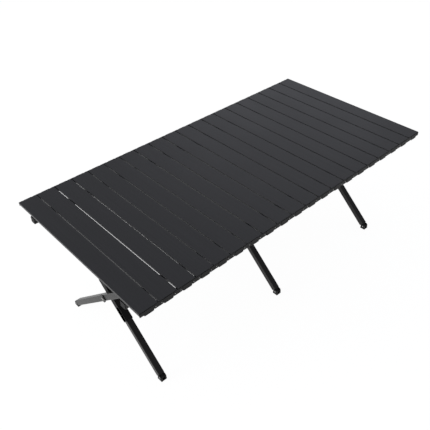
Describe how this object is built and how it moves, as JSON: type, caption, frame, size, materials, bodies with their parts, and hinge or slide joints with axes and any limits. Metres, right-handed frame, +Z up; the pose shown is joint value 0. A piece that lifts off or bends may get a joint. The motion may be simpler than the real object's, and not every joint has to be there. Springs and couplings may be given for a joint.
{
  "type": "folding camp table",
  "caption": "Long low folding camp table with a roll-up slatted metal top on scissor legs that fold with hinged rails.",
  "frame": {"origin": "on the ground, below the centre of the top", "axes": "+X along the table's length to the right, +Y across it to the far side, +Z up"},
  "size_m": [1.197, 0.6, 0.43],
  "materials": {
    "slat": "matte black powder-coated aluminium",
    "tube": "satin black powder-coated tube",
    "moulding": "moulded black nylon",
    "bolt": "zinc-plated steel"
  },
  "bodies": {
    "foot_middle_a": {"foot_middle_a": "moulding"},
    "leg_middle_a": {"leg_middle_a": "tube", "hub_bracket_middle": "moulding", "pivot_bolt_middle": "bolt"},
    "leg_middle_b": {"leg_middle_b": "tube"},
    "foot_middle_b": {"foot_middle_b": "moulding"},
    "bracket_middle_far": {"rail_bracket_middle_far": "moulding"},
    "bracket_middle_near": {"rail_bracket_middle_near": "moulding"},
    "rail_inner_left_near": {"rail_inner_left_near": "tube"},
    "rail_outer_left_near": {"rail_outer_left_near": "tube"},
    "bracket_left_near": {"rail_bracket_left_near": "moulding", "rail_end_left_near": "tube", "rail_cap_left_near": "moulding"},
    "leg_left_b": {"leg_left_b": "tube"},
    "leg_left_a": {"leg_left_a": "tube", "hub_bracket_left": "moulding", "pivot_bolt_left": "bolt"},
    "bracket_left_far": {"rail_bracket_left_far": "moulding", "rail_end_left_far": "tube", "rail_cap_left_far": "moulding"},
    "foot_left_b": {"foot_left_b": "moulding"},
    "foot_left_a": {"foot_left_a": "moulding"},
    "rail_inner_right_near": {"rail_inner_right_near": "tube"},
    "rail_outer_right_near": {"rail_outer_right_near": "tube"},
    "bracket_right_near": {"rail_bracket_right_near": "moulding", "rail_end_right_near": "tube", "rail_cap_right_near": "moulding"},
    "leg_right_b": {"leg_right_b": "tube"},
    "leg_right_a": {"leg_right_a": "tube", "hub_bracket_right": "moulding", "pivot_bolt_right": "bolt"},
    "bracket_right_far": {"rail_bracket_right_far": "moulding", "rail_end_right_far": "tube", "rail_cap_right_far": "moulding"},
    "foot_right_b": {"foot_right_b": "moulding"},
    "foot_right_a": {"foot_right_a": "moulding"},
    "rail_inner_left_far": {"rail_inner_left_far": "tube"},
    "rail_outer_left_far": {"rail_outer_left_far": "tube"},
    "rail_inner_right_far": {"rail_inner_right_far": "tube"},
    "rail_outer_right_far": {"rail_outer_right_far": "tube"},
    "slat_01": {"slat_01": "slat"},
    "slat_02": {"slat_02": "slat"},
    "slat_03": {"slat_03": "slat"},
    "slat_04": {"slat_04": "slat"},
    "slat_05": {"slat_05": "slat"},
    "slat_06": {"slat_06": "slat"},
    "slat_07": {"slat_07": "slat"},
    "slat_08": {"slat_08": "slat"},
    "slat_09": {"slat_09": "slat"},
    "slat_10": {"slat_10": "slat"},
    "slat_11": {"slat_11": "slat"},
    "slat_12": {"slat_12": "slat"},
    "slat_13": {"slat_13": "slat"},
    "slat_14": {"slat_14": "slat"},
    "slat_15": {"slat_15": "slat"},
    "slat_16": {"slat_16": "slat"},
    "slat_17": {"slat_17": "slat"},
    "slat_18": {"slat_18": "slat"},
    "slat_19": {"slat_19": "slat"},
    "slat_20": {"slat_20": "slat"}
  },
  "joints": [
    {"name": "frame_fold", "type": "hinge", "parent": "foot_middle_a", "child": "leg_middle_a", "pos_m": [0, -0.215, 0.011], "axis": [1, 0, 0], "range_deg": [0, 39]},
    {"name": "middle_scissor", "type": "hinge", "parent": "leg_middle_a", "child": "leg_middle_b", "pos_m": [0, 0, 0.20534], "axis": [-1, 0, 0], "range_deg": [0, 78]},
    {"name": "foot_middle_b_ankle", "type": "hinge", "parent": "leg_middle_b", "child": "foot_middle_b", "pos_m": [-0.0221, 0.215, 0.011], "axis": [1, 0, 0], "range_deg": [0, 39]},
    {"name": "bracket_middle_far_pin", "type": "hinge", "parent": "leg_middle_a", "child": "bracket_middle_far", "pos_m": [0, 0.20025, 0.38634], "axis": [-1, 0, 0], "range_deg": [0, 39]},
    {"name": "bracket_middle_near_pin", "type": "hinge", "parent": "leg_middle_b", "child": "bracket_middle_near", "pos_m": [-0.0221, -0.20025, 0.38634], "axis": [1, 0, 0], "range_deg": [0, 39]},
    {"name": "rail_inner_left_near_pin", "type": "hinge", "parent": "bracket_middle_near", "child": "rail_inner_left_near", "pos_m": [-0.014, -0.2265, 0.4095], "axis": [0, -1, 0], "range_deg": [0, 78]},
    {"name": "rail_outer_left_near_knuckle", "type": "hinge", "parent": "rail_inner_left_near", "child": "rail_outer_left_near", "pos_m": [-0.25975, -0.2265, 0.4095], "axis": [0, 1, 0], "range_deg": [0, 156]},
    {"name": "bracket_left_near_pin", "type": "hinge", "parent": "rail_outer_left_near", "child": "bracket_left_near", "pos_m": [-0.5055, -0.2265, 0.4095], "axis": [0, -1, 0], "range_deg": [0, 78]},
    {"name": "leg_left_b_pin", "type": "hinge", "parent": "bracket_left_near", "child": "leg_left_b", "pos_m": [-0.5276, -0.20025, 0.38634], "axis": [-1, 0, 0], "range_deg": [0, 39]},
    {"name": "left_scissor", "type": "hinge", "parent": "leg_left_b", "child": "leg_left_a", "pos_m": [-0.5055, 0, 0.20534], "axis": [1, 0, 0], "range_deg": [0, 78]},
    {"name": "bracket_left_far_pin", "type": "hinge", "parent": "leg_left_a", "child": "bracket_left_far", "pos_m": [-0.5055, 0.20025, 0.38634], "axis": [-1, 0, 0], "range_deg": [0, 39]},
    {"name": "foot_left_b_ankle", "type": "hinge", "parent": "leg_left_b", "child": "foot_left_b", "pos_m": [-0.5276, 0.215, 0.011], "axis": [1, 0, 0], "range_deg": [0, 39]},
    {"name": "foot_left_a_ankle", "type": "hinge", "parent": "leg_left_a", "child": "foot_left_a", "pos_m": [-0.5055, -0.215, 0.011], "axis": [-1, 0, 0], "range_deg": [0, 39]},
    {"name": "rail_inner_right_near_pin", "type": "hinge", "parent": "bracket_middle_near", "child": "rail_inner_right_near", "pos_m": [0.014, -0.2265, 0.4095], "axis": [0, 1, 0], "range_deg": [0, 78]},
    {"name": "rail_outer_right_near_knuckle", "type": "hinge", "parent": "rail_inner_right_near", "child": "rail_outer_right_near", "pos_m": [0.25975, -0.2265, 0.4095], "axis": [0, -1, 0], "range_deg": [0, 156]},
    {"name": "bracket_right_near_pin", "type": "hinge", "parent": "rail_outer_right_near", "child": "bracket_right_near", "pos_m": [0.5055, -0.2265, 0.4095], "axis": [0, 1, 0], "range_deg": [0, 78]},
    {"name": "leg_right_b_pin", "type": "hinge", "parent": "bracket_right_near", "child": "leg_right_b", "pos_m": [0.4834, -0.20025, 0.38634], "axis": [-1, 0, 0], "range_deg": [0, 39]},
    {"name": "right_scissor", "type": "hinge", "parent": "leg_right_b", "child": "leg_right_a", "pos_m": [0.5055, 0, 0.20534], "axis": [1, 0, 0], "range_deg": [0, 78]},
    {"name": "bracket_right_far_pin", "type": "hinge", "parent": "leg_right_a", "child": "bracket_right_far", "pos_m": [0.5055, 0.20025, 0.38634], "axis": [-1, 0, 0], "range_deg": [0, 39]},
    {"name": "foot_right_b_ankle", "type": "hinge", "parent": "leg_right_b", "child": "foot_right_b", "pos_m": [0.4834, 0.215, 0.011], "axis": [1, 0, 0], "range_deg": [0, 39]},
    {"name": "foot_right_a_ankle", "type": "hinge", "parent": "leg_right_a", "child": "foot_right_a", "pos_m": [0.5055, -0.215, 0.011], "axis": [-1, 0, 0], "range_deg": [0, 39]},
    {"name": "rail_inner_left_far_pin", "type": "hinge", "parent": "bracket_middle_far", "child": "rail_inner_left_far", "pos_m": [-0.014, 0.2265, 0.4095], "axis": [0, -1, 0], "range_deg": [0, 78]},
    {"name": "rail_outer_left_far_knuckle", "type": "hinge", "parent": "rail_inner_left_far", "child": "rail_outer_left_far", "pos_m": [-0.25975, 0.2265, 0.4095], "axis": [0, 1, 0], "range_deg": [0, 156]},
    {"name": "rail_inner_right_far_pin", "type": "hinge", "parent": "bracket_middle_far", "child": "rail_inner_right_far", "pos_m": [0.014, 0.2265, 0.4095], "axis": [0, 1, 0], "range_deg": [0, 78]},
    {"name": "rail_outer_right_far_knuckle", "type": "hinge", "parent": "rail_inner_right_far", "child": "rail_outer_right_far", "pos_m": [0.25975, 0.2265, 0.4095], "axis": [0, -1, 0], "range_deg": [0, 156]},
    {"name": "top_lift", "type": "slide", "parent": "bracket_middle_near", "child": "slat_01", "axis": [0, 0, 1], "range_m": [0, 0.25]},
    {"name": "slat_02_link", "type": "hinge", "parent": "slat_01", "child": "slat_02", "pos_m": [-0.54, 0, 0.43], "axis": [0, -1, 0], "range_deg": [0, 31.95]},
    {"name": "slat_03_link", "type": "hinge", "parent": "slat_02", "child": "slat_03", "pos_m": [-0.48, 0, 0.43], "axis": [0, -1, 0], "range_deg": [0, 32.63]},
    {"name": "slat_04_link", "type": "hinge", "parent": "slat_03", "child": "slat_04", "pos_m": [-0.42, 0, 0.43], "axis": [0, -1, 0], "range_deg": [0, 33.36]},
    {"name": "slat_05_link", "type": "hinge", "parent": "slat_04", "child": "slat_05", "pos_m": [-0.36, 0, 0.43], "axis": [0, -1, 0], "range_deg": [0, 34.14]},
    {"name": "slat_06_link", "type": "hinge", "parent": "slat_05", "child": "slat_06", "pos_m": [-0.3, 0, 0.43], "axis": [0, -1, 0], "range_deg": [0, 34.97]},
    {"name": "slat_07_link", "type": "hinge", "parent": "slat_06", "child": "slat_07", "pos_m": [-0.24, 0, 0.43], "axis": [0, -1, 0], "range_deg": [0, 35.86]},
    {"name": "slat_08_link", "type": "hinge", "parent": "slat_07", "child": "slat_08", "pos_m": [-0.18, 0, 0.43], "axis": [0, -1, 0], "range_deg": [0, 36.84]},
    {"name": "slat_09_link", "type": "hinge", "parent": "slat_08", "child": "slat_09", "pos_m": [-0.12, 0, 0.43], "axis": [0, -1, 0], "range_deg": [0, 37.89]},
    {"name": "slat_10_link", "type": "hinge", "parent": "slat_09", "child": "slat_10", "pos_m": [-0.06, 0, 0.43], "axis": [0, -1, 0], "range_deg": [0, 39.04]},
    {"name": "slat_11_link", "type": "hinge", "parent": "slat_10", "child": "slat_11", "pos_m": [0, 0, 0.43], "axis": [0, -1, 0], "range_deg": [0, 40.3]},
    {"name": "slat_12_link", "type": "hinge", "parent": "slat_11", "child": "slat_12", "pos_m": [0.06, 0, 0.43], "axis": [0, -1, 0], "range_deg": [0, 41.7]},
    {"name": "slat_13_link", "type": "hinge", "parent": "slat_12", "child": "slat_13", "pos_m": [0.12, 0, 0.43], "axis": [0, -1, 0], "range_deg": [0, 43.24]},
    {"name": "slat_14_link", "type": "hinge", "parent": "slat_13", "child": "slat_14", "pos_m": [0.18, 0, 0.43], "axis": [0, -1, 0], "range_deg": [0, 44.98]},
    {"name": "slat_15_link", "type": "hinge", "parent": "slat_14", "child": "slat_15", "pos_m": [0.24, 0, 0.43], "axis": [0, -1, 0], "range_deg": [0, 46.94]},
    {"name": "slat_16_link", "type": "hinge", "parent": "slat_15", "child": "slat_16", "pos_m": [0.3, 0, 0.43], "axis": [0, -1, 0], "range_deg": [0, 49.19]},
    {"name": "slat_17_link", "type": "hinge", "parent": "slat_16", "child": "slat_17", "pos_m": [0.36, 0, 0.43], "axis": [0, -1, 0], "range_deg": [0, 51.79]},
    {"name": "slat_18_link", "type": "hinge", "parent": "slat_17", "child": "slat_18", "pos_m": [0.42, 0, 0.43], "axis": [0, -1, 0], "range_deg": [0, 54.86]},
    {"name": "slat_19_link", "type": "hinge", "parent": "slat_18", "child": "slat_19", "pos_m": [0.48, 0, 0.43], "axis": [0, -1, 0], "range_deg": [0, 58.54]},
    {"name": "top_roll", "type": "hinge", "parent": "slat_19", "child": "slat_20", "pos_m": [0.54, 0, 0.43], "axis": [0, -1, 0], "range_deg": [0, 63.11]}
  ],
  "couplings": [
    {"joint": "middle_scissor", "follows": "frame_fold", "ratio": 2},
    {"joint": "foot_middle_b_ankle", "follows": "frame_fold", "ratio": 1},
    {"joint": "bracket_middle_far_pin", "follows": "frame_fold", "ratio": 1},
    {"joint": "bracket_middle_near_pin", "follows": "frame_fold", "ratio": 1},
    {"joint": "rail_inner_left_near_pin", "follows": "frame_fold", "ratio": 2},
    {"joint": "rail_outer_left_near_knuckle", "follows": "frame_fold", "ratio": 4},
    {"joint": "bracket_left_near_pin", "follows": "frame_fold", "ratio": 2},
    {"joint": "leg_left_b_pin", "follows": "frame_fold", "ratio": 1},
    {"joint": "left_scissor", "follows": "frame_fold", "ratio": 2},
    {"joint": "bracket_left_far_pin", "follows": "frame_fold", "ratio": 1},
    {"joint": "foot_left_b_ankle", "follows": "frame_fold", "ratio": 1},
    {"joint": "foot_left_a_ankle", "follows": "frame_fold", "ratio": 1},
    {"joint": "rail_inner_right_near_pin", "follows": "frame_fold", "ratio": 2},
    {"joint": "rail_outer_right_near_knuckle", "follows": "frame_fold", "ratio": 4},
    {"joint": "bracket_right_near_pin", "follows": "frame_fold", "ratio": 2},
    {"joint": "leg_right_b_pin", "follows": "frame_fold", "ratio": 1},
    {"joint": "right_scissor", "follows": "frame_fold", "ratio": 2},
    {"joint": "bracket_right_far_pin", "follows": "frame_fold", "ratio": 1},
    {"joint": "foot_right_b_ankle", "follows": "frame_fold", "ratio": 1},
    {"joint": "foot_right_a_ankle", "follows": "frame_fold", "ratio": 1},
    {"joint": "rail_inner_left_far_pin", "follows": "frame_fold", "ratio": 2},
    {"joint": "rail_outer_left_far_knuckle", "follows": "frame_fold", "ratio": 4},
    {"joint": "rail_inner_right_far_pin", "follows": "frame_fold", "ratio": 2},
    {"joint": "rail_outer_right_far_knuckle", "follows": "frame_fold", "ratio": 4},
    {"joint": "slat_02_link", "follows": "top_roll", "ratio": 0.5063},
    {"joint": "slat_03_link", "follows": "top_roll", "ratio": 0.5171},
    {"joint": "slat_04_link", "follows": "top_roll", "ratio": 0.5286},
    {"joint": "slat_05_link", "follows": "top_roll", "ratio": 0.5409},
    {"joint": "slat_06_link", "follows": "top_roll", "ratio": 0.5541},
    {"joint": "slat_07_link", "follows": "top_roll", "ratio": 0.5683},
    {"joint": "slat_08_link", "follows": "top_roll", "ratio": 0.5837},
    {"joint": "slat_09_link", "follows": "top_roll", "ratio": 0.6004},
    {"joint": "slat_10_link", "follows": "top_roll", "ratio": 0.6186},
    {"joint": "slat_11_link", "follows": "top_roll", "ratio": 0.6386},
    {"joint": "slat_12_link", "follows": "top_roll", "ratio": 0.6607},
    {"joint": "slat_13_link", "follows": "top_roll", "ratio": 0.6852},
    {"joint": "slat_14_link", "follows": "top_roll", "ratio": 0.7127},
    {"joint": "slat_15_link", "follows": "top_roll", "ratio": 0.7438},
    {"joint": "slat_16_link", "follows": "top_roll", "ratio": 0.7794},
    {"joint": "slat_17_link", "follows": "top_roll", "ratio": 0.8206},
    {"joint": "slat_18_link", "follows": "top_roll", "ratio": 0.8693},
    {"joint": "slat_19_link", "follows": "top_roll", "ratio": 0.9277}
  ]
}
